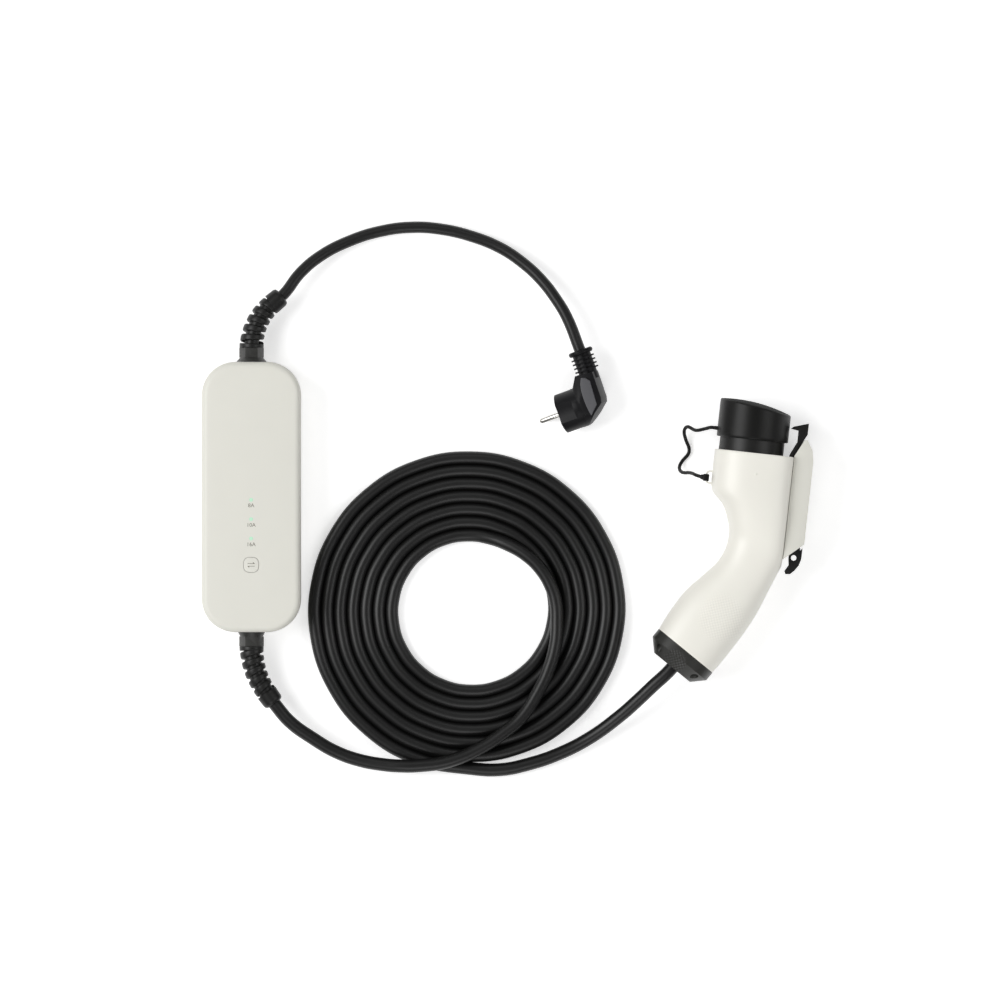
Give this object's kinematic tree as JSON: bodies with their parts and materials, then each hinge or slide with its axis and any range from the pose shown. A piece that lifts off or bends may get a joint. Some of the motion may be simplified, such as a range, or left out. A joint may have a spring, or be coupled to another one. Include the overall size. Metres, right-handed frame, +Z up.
{
  "type": "portable ev charger",
  "caption": "Portable electric-car charger: control box with a short mains lead and angled plug, and a coiled charging lead ending in a latched hand-held connector with a dust cap.",
  "frame": {"origin": "middle of the control box's flat back, on the floor", "axes": "+Z up from the floor through the box's front, +Y along the box towards the mains gland, +X from the box towards the connector"},
  "size_m": [0.5498, 0.5007, 0.0653],
  "materials": {
    "box_white": "fine matt texture",
    "gun_white": "satin",
    "black_plastic": "satin",
    "black_rubber": "matt",
    "plug_black": "moulded, matt",
    "cord_black": "smooth sheath",
    "steel": "plain",
    "pin_metal": "nickel plate",
    "board": "solder mask",
    "terminal": "moulded",
    "relay": "moulded",
    "core": "wire insulation",
    "lamp": "clear, lit"
  },
  "bodies": {
    "charger": {"front_cover": "box_white", "rear_cover": "box_white", "gun_shell_upper": "gun_white", "gun_shell_lower": "gun_white", "latch_cover": "gun_white", "gun_end_cap": "black_plastic", "nose_collar": "black_plastic", "nose_insert": "black_plastic", "supply_gland": "black_plastic", "lead_gland": "black_plastic", "gland_locknuts": "black_plastic", "key_switch": "black_plastic", "power_module": "black_plastic", "cap_tether": "black_rubber", "tether_loop": "black_rubber", "box_gasket": "black_rubber", "supply_bend_relief": "black_rubber", "lead_bend_relief": "black_rubber", "plug_body": "plug_black", "supply_cord": "cord_black", "charge_lead_inner": "cord_black", "charge_lead_coil": "cord_black", "charge_lead_outer": "cord_black", "cover_screws": "steel", "board_screws": "steel", "end_cap_screws": "steel", "latch_pin": "steel", "latch_spring": "steel", "gun_cord_clamp": "steel", "plug_pins": "pin_metal", "plug_earth_clips": "pin_metal", "contact_sleeves": "pin_metal", "panel_board": "board", "main_board": "board", "supply_terminals": "terminal", "output_terminals": "terminal", "relays": "relay", "leakage_sensor": "relay", "box_cores": "core", "gun_cores": "core", "lamp_lenses": "lamp", "panel_lamps": "lamp"},
    "latch": {"latch_lever": "black_plastic"},
    "cap": {"dust_cap": "black_rubber"},
    "key": {"current_key": "box_white"}
  },
  "joints": [
    {"name": "latch_press", "type": "hinge", "parent": "charger", "child": "latch", "pos_m": [0.49072, -0.01085, 0.03255], "axis": [0, 0, -1], "range_deg": [0, 4.5], "stiffness_Nm_per_rad": 2, "deforming": ["latch_spring"]},
    {"name": "cap_pull", "type": "slide", "parent": "charger", "child": "cap", "axis": [0.1097, 0.994, 0], "range_m": [0, 0.07]},
    {"name": "key_press", "type": "slide", "parent": "charger", "child": "key", "axis": [0, 0, -1], "range_m": [0, 0.0008], "stiffness_N_per_m": 1000}
  ]
}
